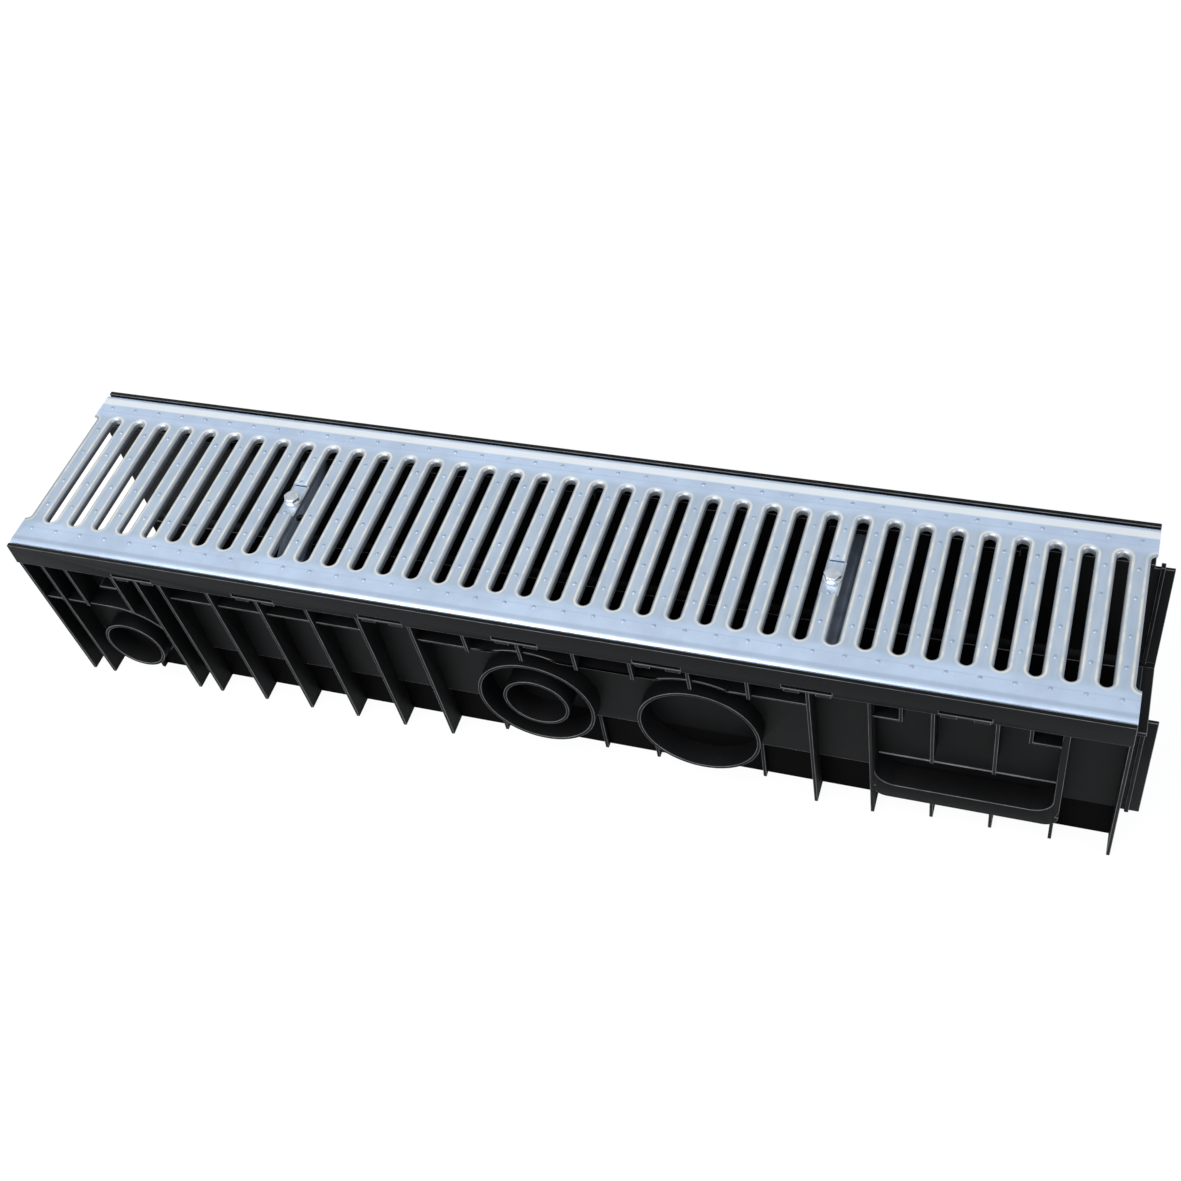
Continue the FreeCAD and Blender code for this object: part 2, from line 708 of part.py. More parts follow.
def build_channel_body():
    """One moulding: the trough with everything that stands on its walls."""
    moulding = Moulding()
    moulding.added.append(build_trough())
    build_ribs(moulding)
    build_ledges(moulding)
    build_outlet(moulding)
    build_stubs(moulding)
    build_windows_and_lugs(moulding)
    build_tongues(moulding)
    solid = doc.addObject("Part::MultiFuse", "moulded_blocks")
    solid.Shapes = moulding.added
    hollows = doc.addObject("Part::MultiFuse", "moulded_hollows")
    hollows.Shapes = moulding.cut
    hollowed = doc.addObject("Part::Cut", "hollowed_blocks")
    hollowed.Base = solid
    hollowed.Tool = hollows
    body = doc.addObject("Part::MultiFuse", "channel_body")
    body.Shapes = [hollowed] + moulding.added_last
    body.Refine = True
    body.Label = "channel_body"
    return body


def build_grating():
    """One pressed sheet: bent-down long edges, slots with rolled edges, two dished seats."""
    body = make_body("grating")
    outer = lip_inner - cell("grating_clearance")
    sheet_thickness = cell("sheet_thickness")
    bend = cell("bend_radius")
    under = height - sheet_thickness
    sketch = make_sketch(body, "sheet_section", "YZ_Plane", -half_length)
    draw_square_outline(sketch, [
        (outer, shoulder_top, 0), (outer, height, bend), (-outer, height, bend),
        (-outer, shoulder_top, 0), (sheet_thickness - outer, shoulder_top, 0),
        (sheet_thickness - outer, under, bend - sheet_thickness),
        (outer - sheet_thickness, under, bend - sheet_thickness),
        (outer - sheet_thickness, shoulder_top, 0)])
    add_pad(body, sketch, cell("channel_length"))

    pitch = cell("channel_length") / (cell("slot_count") + 1)
    first = pitch - half_length
    collar_depth = cell("slot_collar_depth")
    collar = make_sketch(body, "slot_collar", "XY_Plane", height - collar_depth)
    draw_slot(collar, first, cell("slot_length") + sheet_thickness * 2,
              cell("slot_width") + sheet_thickness * 2)
    collar_pad = add_pad(body, collar, collar_depth - sheet_thickness)
    opening = make_sketch(body, "slot_opening", "XY_Plane", height)
    draw_slot(opening, first, cell("slot_length"), cell("slot_width"))
    opening_cut = add_pocket(body, opening, collar_depth)
    doc.recompute()
    slots = body.newObject("PartDesign::LinearPattern", "slots")
    slots.Originals = [collar_pad, opening_cut]
    slots.Direction = (opening, ["H_Axis"])
    slots.setExpression("Length", (pitch * (cell("slot_count") - 1)).text)
    slots.setExpression("Occurrences", cell("slot_count").text)
    body.Tip = slots

    notches = make_sketch(body, "end_notches", "XY_Plane", height)
    for place in (-half_length, half_length):
        draw_slot(notches, place, cell("slot_length"), cell("slot_width"))
    add_pocket(body, notches, collar_depth)

    slot_reach = DRIVING_SIZES["slot_length"] / 2 + 1
    end = half_length.number

    def slot_rim(edge):
        box = edge.BoundBox
        on_top = abs(box.ZMin - height.number) < 0.01 and abs(box.ZMax - height.number) < 0.01
        inside = max(abs(box.YMin), abs(box.YMax)) < slot_reach
        return on_top and inside and box.XMin > -end + 6 and box.XMax < end - 6

    add_fillet(body, "slot_rolls", cell("slot_roll_radius"), slot_rim)

    seat_half = (pitch - cell("slot_width")) / 2
    seat_reach = cell("seat_length") / 2
    seats = [along(count) for count in BAR_PLACES]
    seat_depth = cell("seat_depth")

    def draw_seats(sketch):
        for place in seats:
            draw_polygon(sketch, [
                (place - seat_half, -seat_reach), (place + seat_half, -seat_reach),
                (place + seat_half, seat_reach), (place - seat_half, seat_reach)])

    sketch = make_sketch(body, "seat_floor", "XY_Plane", under - seat_depth)
    draw_seats(sketch)
    add_pad(body, sketch, seat_depth)
    sketch = make_sketch(body, "seat_dish", "XY_Plane", height)
    draw_seats(sketch)
    add_pocket(body, sketch, seat_depth)
    sketch = make_sketch(body, "bolt_holes", "XY_Plane", height)
    for place in seats:
        draw_circle(sketch, place, as_size(0), cell("bolt_diameter") / 2 + cell("bolt_hole_gap"))
    add_pocket(body, sketch, collar_depth)
    return body


bar_top = shoulder_top - cell("lug_drop") - cell("bar_gap")
nut_top = bar_top - cell("bar_sheet")
seat_level = height - cell("seat_depth")
head_level = seat_level + cell("washer_thickness")


def place_piece(body, count, up, angle=None):
    """Puts a piece, drawn about its own axis, at a bolt's place."""
    place = along(count)
    body.setExpression(".Placement.Base.x", place.text)
    body.setExpression(".Placement.Base.z", up.text)
    if angle is not None:
        body.setExpression(".Placement.Rotation.Angle", angle.text)


def build_bar(label, count, angle):
    """A pressed bar of channel section that turns about the bolt and clamps under the lugs."""
    body = make_body(label)
    half_bar = cell("bar_width") / 2
    drop = -cell("bar_height")
    sheet_bar = cell("bar_sheet")
    outer_radius = sheet_bar * 1.6
    inner_radius = sheet_bar * 0.6
    sketch = make_sketch(body, label + "_section", "XZ_Plane", -cell("bar_length") / 2)
    draw_square_outline(sketch, [
        (half_bar, drop, 0), (half_bar, as_size(0), outer_radius),
        (-half_bar, as_size(0), outer_radius), (-half_bar, drop, 0),
        (sheet_bar - half_bar, drop, 0), (sheet_bar - half_bar, -sheet_bar, inner_radius),
        (half_bar - sheet_bar, -sheet_bar, inner_radius), (half_bar - sheet_bar, drop, 0)])
    add_pad(body, sketch, cell("bar_length"))
    sketch = make_sketch(body, label + "_hole", "XY_Plane", as_size(0))
    draw_circle(sketch, as_size(0), as_size(0), cell("bolt_diameter") / 2 + cell("bolt_running_gap"))
    add_pocket(body, sketch, sheet_bar * 2)
    place_piece(body, count, bar_top, angle)
    return body


def build_bolt(label, count):
    """Hexagon-head bolt: the head stands on the washer and the shank reaches past the nut."""
    body = make_body(label)
    sketch = make_sketch(body, label + "_shank", "XY_Plane", -cell("bolt_length"))
    draw_circle(sketch, as_size(0), as_size(0), cell("bolt_diameter") / 2)
    add_pad(body, sketch, cell("bolt_length"))
    sketch = make_sketch(body, label + "_head", "XY_Plane", as_size(0))
    draw_hexagon(sketch, cell("hex_flats"))
    add_pad(body, sketch, cell("head_height"))
    place_piece(body, count, head_level)
    return body


def build_washer(label, count):
    body = make_body(label)
    sketch = make_sketch(body, label + "_ring", "XY_Plane", as_size(0))
    draw_circle(sketch, as_size(0), as_size(0), cell("washer_diameter") / 2)
    draw_circle(sketch, as_size(0), as_size(0), cell("bolt_diameter") / 2 + cell("bolt_running_gap") * 4)
    add_pad(body, sketch, cell("washer_thickness"))
    place_piece(body, count, seat_level)
    return body


def build_nut(label, count):
    """Hexagon nut under the bar, which turns with it."""
    body = make_body(label)
    sketch = make_sketch(body, label + "_block", "XY_Plane", -cell("nut_height"))
    draw_hexagon(sketch, cell("hex_flats"))
    draw_circle(sketch, as_size(0), as_size(0), cell("bolt_diameter") / 2 + cell("bolt_running_gap"))
    add_pad(body, sketch, cell("nut_height"))
    place_piece(body, count, nut_top)
    return body


def check_document():
    """Stops if any object failed or any piece is not one valid solid."""
    for item in doc.Objects:
        if "Invalid" in item.State or "Error" in item.State:
            raise ValueError("%s failed: %s" % (item.Name, item.State))
    for piece in pieces:
        shape = piece.Shape
        if shape.isNull() or not shape.isValid() or len(shape.Solids) != 1:
            raise ValueError("%s is not one valid solid" % piece.Label)


pieces = [build_channel_body(), build_grating()]
for side_name, count in zip(("left", "right"), BAR_PLACES):
    pieces.append(build_bar("locking_bar_" + side_name, count, cell(side_name + "_bar_angle")))
    pieces.append(build_bolt("bolt_" + side_name, count))
    pieces.append(build_washer("washer_" + side_name, count))
    pieces.append(build_nut("nut_" + side_name, count))

doc.recompute()
check_document()
os.makedirs("parts", exist_ok=True)
for piece in pieces:
    piece.Shape.exportStep("parts/%s.step" % piece.Label)
    print(piece.Label, [round(value, 2) for value in (
        piece.Shape.BoundBox.XMin, piece.Shape.BoundBox.XMax, piece.Shape.BoundBox.YMin,
        piece.Shape.BoundBox.YMax, piece.Shape.BoundBox.ZMin, piece.Shape.BoundBox.ZMax)])
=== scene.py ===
import math

import bmesh
import bpy
from mathutils import Matrix, Vector


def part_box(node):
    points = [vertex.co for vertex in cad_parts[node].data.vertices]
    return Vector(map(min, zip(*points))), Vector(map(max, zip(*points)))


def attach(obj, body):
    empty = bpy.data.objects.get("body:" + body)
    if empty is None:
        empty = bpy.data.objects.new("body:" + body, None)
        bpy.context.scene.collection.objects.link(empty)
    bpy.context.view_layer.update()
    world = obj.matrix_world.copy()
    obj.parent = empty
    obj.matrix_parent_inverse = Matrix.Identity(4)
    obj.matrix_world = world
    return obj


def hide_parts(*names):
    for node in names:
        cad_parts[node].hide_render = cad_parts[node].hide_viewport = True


# The looks of a drainage channel: a black moulded trough under a galvanised slotted grating.
# Everything is in metres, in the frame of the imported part.

bl_info = {
    "name": "Drainage channel looks",
    "version": (1, 0, 0),
    "blender": (4, 5, 0),
    "location": "View3D > Sidebar > Drainage channel",
    "description": "Finishes the trough, the grating and the fasteners of a drainage channel",
    "category": "Object",
}

MM = 0.001

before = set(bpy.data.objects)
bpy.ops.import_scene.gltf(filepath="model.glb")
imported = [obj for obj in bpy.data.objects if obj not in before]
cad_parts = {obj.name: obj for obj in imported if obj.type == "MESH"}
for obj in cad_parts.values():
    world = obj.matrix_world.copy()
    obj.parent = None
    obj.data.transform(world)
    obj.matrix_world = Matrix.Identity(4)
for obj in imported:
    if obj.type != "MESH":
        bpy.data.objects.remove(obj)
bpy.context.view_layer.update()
trough_low, trough_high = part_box("channel_body")
sheet_low, sheet_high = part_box("grating")

SLOT_COUNT = 37
SLOT_PITCH = (sheet_high.x - sheet_low.x) / (SLOT_COUNT + 1)

# Zones of the sheet's colour, as distances across the grating: each from none to full.
# The webs are duller; the pressed line has painted shade, the two bends painted reflections
WEB_ZONE = (66 * MM, 74 * MM)
PRESS_LINE_SHADE = ((76.2 * MM, 77.0 * MM), (77.2 * MM, 78.0 * MM))
FAR_BEND_REFLECTION = ((85 * MM, 87 * MM), (93 * MM, 94.5 * MM))
NEAR_BEND_REFLECTION = ((-94.5 * MM, -93 * MM), (-91 * MM, -88 * MM))

# Painted shade: the trough's foot, a darker lower wall, reaches this high and this far out
SHADED_FOOT_HEIGHT = (50 * MM, 55 * MM)
SHADED_FOOT_REACH = (72 * MM, 74 * MM)

# Places across the grating of the anti-slip nubs' rows, near side first
NUB_ROWS = [row * MM for row in (-78.8, -47.9, -17.4, 21.2, 51.6, 81.9)]

# Small forms of the trough that stand beside its solid: the foot of the far tongue and the
# root of the corner shelf, each by its corners in Y and Z, and the bead over the outlet's recess
TONGUE_FOOT_LOW = (75.6 * MM, 22 * MM)
TONGUE_FOOT_HIGH = (78.6 * MM, 53 * MM)
SHELF_ROOT_DEPTH = 16 * MM
SHELF_ROOT_LOW = (-80 * MM, 178.6 * MM)
SHELF_ROOT_HIGH = (-29 * MM, 182.4 * MM)
# The bead is a painted highlight: a pale rod along the lower edge of the wall over the outlet's
# recess
HIGHLIGHT_BEAD_LEFT = (303.5 * MM, -78.7 * MM, 74.9 * MM)
HIGHLIGHT_BEAD_RIGHT = (448.5 * MM, -78.7 * MM, 74.9 * MM)
HIGHLIGHT_BEAD_RADIUS = 0.9 * MM

# Angles in degrees: flats joined, edges rounded, faces shaded smooth
FLAT_ANGLE = 0.4
SHARP_ANGLE = 35
SMOOTH_ANGLE = 32
BEVEL_SEGMENTS = 2
SHORTEST_EDGE = 0.3 * MM
MERGE_REACH = 0.004 * MM


class ChannelSizes(bpy.types.PropertyGroup):
    """Sizes of the small forms that the finish adds"""

    moulded_edge: bpy.props.FloatProperty(
        name="Moulded edge", description="Rounding of the trough's free edges",
        default=0.5 * MM, unit="LENGTH", subtype="DISTANCE")
    sheet_edge: bpy.props.FloatProperty(
        name="Sheet edge", description="Rounding of the grating's cut edges",
        default=0.3 * MM, unit="LENGTH", subtype="DISTANCE")
    nub_radius: bpy.props.FloatProperty(
        name="Nub radius", description="Radius of the raised anti-slip nubs",
        default=1.9 * MM, unit="LENGTH", subtype="DISTANCE")
    nub_height: bpy.props.FloatProperty(
        name="Nub height", description="How far a nub stands above the sheet",
        default=0.8 * MM, unit="LENGTH", subtype="DISTANCE")
    slot_width: bpy.props.FloatProperty(
        name="Slot width", description="Clear width of a slot",
        default=10 * MM, unit="LENGTH", subtype="DISTANCE")
    slot_length: bpy.props.FloatProperty(
        name="Slot length", description="Clear length of a slot",
        default=136 * MM, unit="LENGTH", subtype="DISTANCE")
    roll_radius: bpy.props.FloatProperty(
        name="Roll radius", description="Radius of the rolled slot edges",
        default=3 * MM, unit="LENGTH", subtype="DISTANCE")
    thread_pitch: bpy.props.FloatProperty(
        name="Thread pitch", description="Pitch of the bolts' threads",
        default=1.25 * MM, unit="LENGTH", subtype="DISTANCE")
    head_height: bpy.props.FloatProperty(
        name="Head height", description="Height of the bolts' heads",
        default=5.3 * MM, unit="LENGTH", subtype="DISTANCE")
    head_flats: bpy.props.FloatProperty(
        name="Width across flats", description="Width of the bolts' heads across flats",
        default=13 * MM, unit="LENGTH", subtype="DISTANCE")
    head_chamfer: bpy.props.FloatProperty(
        name="Chamfer slope", description="Rise over run of the heads' chamfer", default=0.55)
    shank_diameter: bpy.props.FloatProperty(
        name="Shank diameter", description="Outside diameter of the bolts' threads",
        default=8 * MM, unit="LENGTH", subtype="DISTANCE")


class ChannelColours(bpy.types.PropertyGroup):
    """Colours of the finishes"""

    plastic: bpy.props.FloatVectorProperty(
        name="Plastic", description="Black moulded plastic",
        default=(0.0026, 0.0026, 0.0029), subtype="COLOR", size=3)
    # Painted highlight: the paler colour of the moulding's free edges stands for the light they
    # catch
    plastic_edge_highlight: bpy.props.FloatVectorProperty(
        name="Plastic edge", description="Rubbed free edges of the moulding",
        default=(0.105, 0.108, 0.116), subtype="COLOR", size=3)
    # Galvanised grey with a painted reflection in part: its blue tint copies the cool sky the sheet
    # reflects
    zinc: bpy.props.FloatVectorProperty(
        name="Zinc", description="Galvanised sheet",
        default=(0.52, 0.61, 0.745), subtype="COLOR", size=3)
    # Painted highlight: the warm sheen ring about each slot's roll
    rolled_edge_sheen: bpy.props.FloatVectorProperty(
        name="Rolled edge", description="Warm sheen on the rolled slot edges",
        default=(0.86, 0.79, 0.66), subtype="COLOR", size=3)
    bar: bpy.props.FloatVectorProperty(
        name="Locking bar", description="Dull galvanised steel of the bars",
        default=(0.17, 0.20, 0.25), subtype="COLOR", size=3)
    fastener: bpy.props.FloatVectorProperty(
        name="Fastener", description="Bright zinc plating",
        default=(0.72, 0.74, 0.77), subtype="COLOR", size=3)
    floor: bpy.props.FloatVectorProperty(
        name="Floor", description="Pale floor and backdrop",
        default=(0.50, 0.50, 0.50), subtype="COLOR", size=3)


def sizes():
    return bpy.context.scene.channel_sizes


def colours():
    return bpy.context.scene.channel_colours


class Wire:
    """A node's output that takes part in Python arithmetic by adding Math nodes."""

    def __init__(self, board, socket):
        self.board = board
        self.socket = socket

    def __add__(self, other):
        return self.board.math("ADD", self, other)

    def __sub__(self, other):
        return self.board.math("SUBTRACT", self, other)

    def __mul__(self, other):
        return self.board.math("MULTIPLY", self, other)

    def __truediv__(self, other):
        return self.board.math("DIVIDE", self, other)

    def __rsub__(self, other):
        return self.board.math("SUBTRACT", other, self)

    __radd__ = __add__
    __rmul__ = __mul__


class Board:
    """The node board of one material, with its Principled shader."""

    def __init__(self, name, shader_settings):
        self.material = bpy.data.materials.new(name)
        self.material.use_nodes = True
        self.tree = self.material.node_tree
        self.tree.nodes.clear()
        self.out = self.tree.nodes.new("ShaderNodeOutputMaterial")
        self.shader = self.tree.nodes.new("ShaderNodeBsdfPrincipled")
        self.tree.links.new(self.shader.outputs[0], self.out.inputs["Surface"])
        for key, value in shader_settings.items():
            self.shader.inputs[key].default_value = value

    def add(self, kind, settings=None, inputs=None, output=0):
        """Adds a node of any type: settings first, then the values or wires of its sockets."""
        node = self.tree.nodes.new(kind)
        for key, value in (settings or {}).items():
            setattr(node, key, value)
        for key, value in (inputs or {}).items():
            if isinstance(value, Wire):
                self.tree.links.new(value.socket, node.inputs[key])
            else:
                node.inputs[key].default_value = value
        return Wire(self, node.outputs[output])

    def math(self, operation, *values):
        inputs = {index: value for index, value in enumerate(values)}
        return self.add("ShaderNodeMath", {"operation": operation}, inputs)

    def between(self, value, low, high):
        """0 below low, 1 above high, smooth between."""
        inputs = {"Value": value, "From Min": low, "From Max": high, "To Min": 0.0, "To Max": 1.0}
        return self.add("ShaderNodeMapRange", {"interpolation_type": "SMOOTHSTEP"}, inputs)

    def band(self, value, rise, fall):
        """1 from the end of the rise to the start of the fall, 0 outside them."""
        return self.between(value, *rise) * (1 - self.between(value, *fall))

    def position(self):
        return self.add("ShaderNodeTexCoord", output=3)

    def axes(self, vector):
        return [self.add("ShaderNodeSeparateXYZ", None, {0: vector}, axis) for axis in range(3)]

    def noise(self, vector, scale, detail=3.0, roughness=0.55):
        inputs = {"Vector": vector, "Scale": scale, "Detail": detail, "Roughness": roughness}
        return self.add("ShaderNodeTexNoise", None, inputs)

    def flakes(self, vector, scale):
        """A random shade for each crystal of the zinc."""
        inputs = {"Vector": vector, "Scale": scale}
        return self.axes(self.add("ShaderNodeTexVoronoi", {"feature": "F1"}, inputs, 1))[0]

    def stretched(self, vector, scale):
        return self.add("ShaderNodeMapping", None, {"Vector": vector, "Scale": scale})

    def mix(self, share, first, second):
        """A colour between two colours."""
        node = self.tree.nodes.new("ShaderNodeMix")
        node.data_type = "RGBA"
        for index, value in ((0, share), (6, first), (7, second)):
            if isinstance(value, Wire):
                self.tree.links.new(value.socket, node.inputs[index])
            elif index == 0:
                node.inputs[index].default_value = value
            else:
                node.inputs[index].default_value = (*value[:3], 1.0)
        return Wire(self, node.outputs[2])

    def feed(self, key, value):
        self.tree.links.new(value.socket, self.shader.inputs[key])

    def over(self, share, other):
        """Lays another shader over the Principled one by a share."""
        node = self.add("ShaderNodeMixShader", None, {0: share}).socket.node
        self.tree.links.new(self.shader.outputs[0], node.inputs[1])
        self.tree.links.new(other.socket, node.inputs[2])
        self.tree.links.new(node.outputs[0], self.out.inputs["Surface"])

    def bump(self, height, strength, distance):
        inputs = {"Height": height, "Strength": strength, "Distance": distance}
        self.feed("Normal", self.add("ShaderNodeBump", None, inputs))


def scaled(colour, factor):
    return tuple(min(1.0, part * factor) for part in colour)


def moulded_plastic():
    """Black polypropylene: faint flow marks, a fine grain, a little dust that lies on ledges, and
    painted shade on the foot.
    """
    board = Board("moulded_plastic", {"Specular IOR Level": 0.15, "IOR": 1.49})
    place = board.position()
    base = tuple(colours().plastic)
    cloud = board.noise(place, 14.0, 4.0)
    flow = board.noise(board.stretched(place, (6.0, 6.0, 60.0)), 4.0, 2.0)
    grain = board.noise(place, 2600.0, 1.0)
    shade = board.mix(board.between(cloud, 0.35, 0.7), scaled(base, 0.8), scaled(base, 1.35))
    along, across, up = board.axes(place)
    reach = board.math("ABSOLUTE", across)
    foot_shade_mask = (1 - board.between(up, *SHADED_FOOT_HEIGHT)) * (1 - board.between(reach, *SHADED_FOOT_REACH))
    normal_z = board.axes(board.add("ShaderNodeNewGeometry", output=1))[2]
    specks = board.between(board.noise(place, 420.0, 2.0), 0.66, 0.74)
    dust = specks * board.between(normal_z, 0.6, 0.95) * board.between(cloud, 0.5, 0.75) * 0.35
    board.feed("Base Color", board.mix(dust, shade, (0.11, 0.10, 0.09)))
    board.feed("Roughness", 0.40 + cloud * 0.16 + flow * 0.06)
    board.bump(grain * 0.8 + flow * 0.12, 0.12, 0.0002)
    # Painted shade: a near-black diffuse shader laid over the foot makes the lower wall darker
    shaded = board.add("ShaderNodeBsdfDiffuse", None, {"Color": (0.0024, 0.0021, 0.0018, 1.0)})
    board.over(foot_shade_mask * 0.8, shaded)
    return board.material


def edge_highlight_plastic():
    """The free edges of the moulding: a painted highlight, paler and smoother than its faces, in
    random patches.
    """
    board = Board("edge_highlight_plastic", {"Specular IOR Level": 0.5, "IOR": 1.49})
    place = board.position()
    edge = tuple(colours().plastic_edge_highlight)
    wear = board.noise(place, 60.0, 3.0)
    worn = board.between(wear, 0.3, 0.7)
    board.feed("Base Color", board.mix(worn, scaled(edge, 0.55), scaled(edge, 1.15)))
    board.feed("Roughness", 0.28 + wear * 0.15)
    return board.material


def slot_distance(board, place):
    """Distance in metres outside the nearest slot's opening, by the slots' even pitch."""
    along, across, up = board.axes(place)
    nearest = board.math("ROUND", along / SLOT_PITCH) * SLOT_PITCH
    off_centre = board.math("ABSOLUTE", along - nearest)
    half_width = sizes().slot_width / 2
    straight = sizes().slot_length / 2 - half_width
    past_end = board.math("MAXIMUM", board.math("ABSOLUTE", across) - straight, 0.0)
    reach = board.math("SQRT", off_centre * off_centre + past_end * past_end)
    return reach - half_width


def zinc_coated_sheet():
    """Galvanised pressed sheet: soft spangle, scratched, duller webs, a painted highlight ring
    about each slot, painted shade on the slot rolls and the pressed line, and painted reflections
    on the bends.
    """
    board = Board("zinc_coated_sheet", {"Metallic": 0.72})
    place = board.position()
    along, across, up = board.axes(place)
    zinc = tuple(colours().zinc)
    flake = board.flakes(place, 120.0)
    cloud = board.noise(place, 22.0, 4.0)
    streak = board.noise(board.stretched(place, (190.0, 18.0, 40.0)), 1.0, 3.0)
    spots = board.between(board.noise(place, 230.0, 2.0), 0.66, 0.76)
    tone = board.mix(board.between(cloud, 0.3, 0.7), scaled(zinc, 0.94), scaled(zinc, 1.06))
    tone = board.mix(flake * 0.14, tone, scaled(zinc, 1.2))
    tone = board.mix(spots * 0.3, tone, scaled(zinc, 0.75))

    beyond = slot_distance(board, place)
    roll = sizes().roll_radius
    reach = board.math("ABSOLUTE", across)
    on_web = 1 - board.between(reach, *WEB_ZONE)
    worn = on_web * board.between(streak, 0.35, 0.65)
    tone = board.mix(on_web * 0.5, tone, (0.36, 0.42, 0.48))
    tone = board.mix(worn * 0.45, tone, (0.54, 0.60, 0.66))
    # Painted shade along the pressed line
    press_line_shade = board.band(reach, *PRESS_LINE_SHADE)
    tone = board.mix(press_line_shade * cloud * 0.4, tone, scaled(zinc, 0.6))
    # Painted highlight: a warm sheen ring on top about each slot's roll, in patches
    top = board.between(up, sheet_high.z - 1.2 * MM, sheet_high.z - 0.4 * MM)
    sheen_ring = board.band(beyond, (roll * 0.55, roll * 0.85), (roll * 1.1, roll * 1.5))
    # Painted shade on the roll that turns down into each slot
    roll_shade = 1 - board.between(beyond, roll * 0.4, roll * 0.8)
    tone = board.mix(roll_shade * 0.75, tone, (0.36, 0.37, 0.38))
    # Painted reflection: a pale strip on the far bend
    far_bend_reflection = board.band(across, *FAR_BEND_REFLECTION)
    tone = board.mix(far_bend_reflection * 0.8, tone, (0.93, 0.92, 0.90))
    # Painted reflection: a darker band on the near bend
    near_bend_reflection = board.band(across, *NEAR_BEND_REFLECTION)
    tone = board.mix(near_bend_reflection * 0.6, tone, scaled(zinc, 0.72))
    sheen_patches = 0.35 + board.between(board.noise(place, 70.0, 3.0), 0.35, 0.65) * 0.6
    tone = board.mix(sheen_ring * top * sheen_patches, tone, tuple(colours().rolled_edge_sheen))
    board.feed("Base Color", tone)
    board.feed("Roughness", 0.30 + cloud * 0.12 + flake * 0.05 + streak * 0.06)
    board.bump(cloud * 0.5 + streak * 0.25 + flake * 0.15, 0.10, 0.0006)
    return board.material


def shaded_nub_zinc():
    """The raised nubs: the sheet's zinc painted darker as painted shade, in random patches."""
    board = Board("shaded_nub_zinc", {"Metallic": 0.72})
    zinc = tuple(colours().zinc)
    wear = board.noise(board.position(), 320.0, 3.0)
    worn = board.between(wear, 0.3, 0.7)
    board.feed("Base Color", board.mix(worn, scaled(zinc, 0.55), scaled(zinc, 0.85)))
    board.feed("Roughness", 0.36 + wear * 0.15)
    return board.material


def dull_bar_steel():
    """Dull galvanised steel of the locking bars."""
    board = Board("dull_bar_steel", {"Metallic": 0.6})
    place = board.position()
    bar = tuple(colours().bar)
    cloud = board.noise(place, 45.0, 4.0)
    flake = board.flakes(place, 160.0)
    tone = board.mix(board.between(cloud, 0.3, 0.7), scaled(bar, 0.8), scaled(bar, 1.2))
    board.feed("Base Color", board.mix(flake * 0.2, tone, scaled(bar, 1.5)))
    board.feed("Roughness", 0.42 + cloud * 0.15)
    board.bump(cloud, 0.08, 0.0004)
    return board.material


def bright_zinc():
    """Bright zinc plating of the bolts, washers and nuts."""
    board = Board("bright_zinc", {"Metallic": 0.9})
    place = board.position()
    zinc = tuple(colours().fastener)
    cloud = board.noise(place, 180.0, 3.0)
    turned = board.noise(board.stretched(place, (1.0, 1.0, 14.0)), 260.0, 2.0)
    board.feed("Base Color", board.mix(board.between(cloud, 0.3, 0.7), scaled(zinc, 0.82), zinc))
    board.feed("Roughness", 0.22 + cloud * 0.14)
    board.bump(turned, 0.06, 0.0002)
    return board.material


MAKERS = {
    "moulded_plastic": moulded_plastic,
    "edge_highlight_plastic": edge_highlight_plastic,
    "zinc_coated_sheet": zinc_coated_sheet,
    "shaded_nub_zinc": shaded_nub_zinc,
    "dull_bar_steel": dull_bar_steel,
    "bright_zinc": bright_zinc,
}


def finish_material(name):
    """Each finish is made once and shared."""
    return bpy.data.materials.get(name) or MAKERS[name]()


def paint(piece, *names):
    piece.data.materials.clear()
    for name in names:
        piece.data.materials.append(finish_material(name))


def select_only(piece):
    for other in list(bpy.context.selected_objects):
        other.select_set(False)
    bpy.context.view_layer.objects.active = piece
    piece.select_set(True)


def copy_of_node(node, name):
    """A piece with its own copy of a solid's mesh, its loose triangles merged and flats joined."""
    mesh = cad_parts[node].data.copy()
    piece = bpy.data.objects.new(name, mesh)
    bpy.context.scene.collection.objects.link(piece)
    select_only(piece)
    bpy.ops.object.mode_set(mode="EDIT")
    bpy.ops.mesh.select_all(action="SELECT")
    bpy.ops.mesh.remove_doubles(threshold=MERGE_REACH)
    bpy.ops.mesh.dissolve_limited(angle_limit=math.radians(FLAT_ANGLE))
    bpy.ops.mesh.customdata_custom_splitnormals_clear()
    bpy.ops.object.mode_set(mode="OBJECT")
    return piece


def weigh_edges(piece, wanted):
    """Marks the edges that the bevel rounds."""
    select_only(piece)
    bpy.ops.object.mode_set(mode="EDIT")
    bpy.ops.mesh.select_mode(type="EDGE")
    bpy.ops.mesh.select_all(action="DESELECT")
    shape = bmesh.from_edit_mesh(piece.data)
    for edge in shape.edges:
        edge.select_set(wanted(edge))
    bmesh.update_edit_mesh(piece.data)
    bpy.ops.transform.edge_bevelweight(value=1.0)
    bpy.ops.object.mode_set(mode="OBJECT")


def round_edges(piece, width, slot=-1):
    bevel = piece.modifiers.new("rounding", "BEVEL")
    bevel.width = width
    bevel.segments = BEVEL_SEGMENTS
    bevel.limit_method = "WEIGHT"
    bevel.use_clamp_overlap = False
    bevel.material = slot
    bevel.harden_normals = False
    select_only(piece)
    bpy.ops.object.modifier_apply(modifier="rounding")
    smooth(piece)


def smooth(piece):
    select_only(piece)
    bpy.ops.object.shade_smooth_by_angle(angle=math.radians(SMOOTH_ANGLE))


